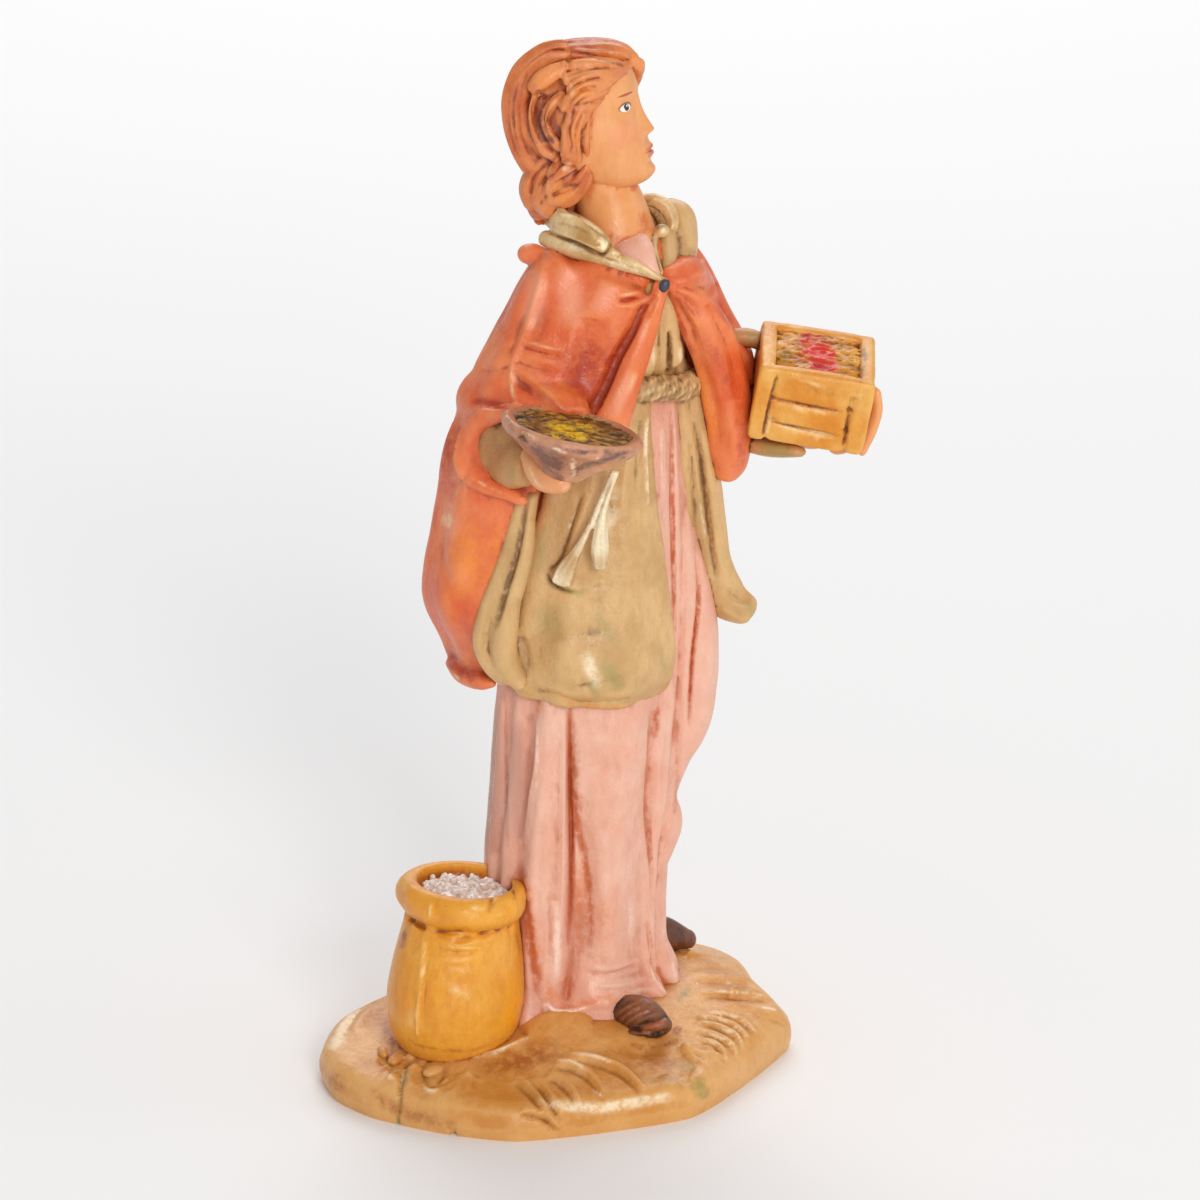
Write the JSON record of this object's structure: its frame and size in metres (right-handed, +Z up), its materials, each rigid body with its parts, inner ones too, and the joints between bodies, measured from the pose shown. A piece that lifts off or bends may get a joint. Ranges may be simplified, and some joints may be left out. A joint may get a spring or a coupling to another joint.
{
  "type": "presepe figure",
  "caption": "Moulded nativity-scene figurine of a caped woman carrying a bowl and a crate beside a sack, standing on an oval ground base.",
  "frame": {"origin": "middle of the flat underside of the base", "axes": "+Z up along the figure; she faces -Y, her right hand with the bowl is at -X and her left arm with the crate at +X"},
  "size_m": [0.0619, 0.0463, 0.124],
  "materials": {
    "painted_plastic": "hand-painted moulded plastic with a satin sheen: red-orange cape, khaki smock, pink skirt, ochre ground, brown wash in the folds"
  },
  "bodies": {
    "root": {"presepe_figure": "painted_plastic"}
  },
  "joints": []
}
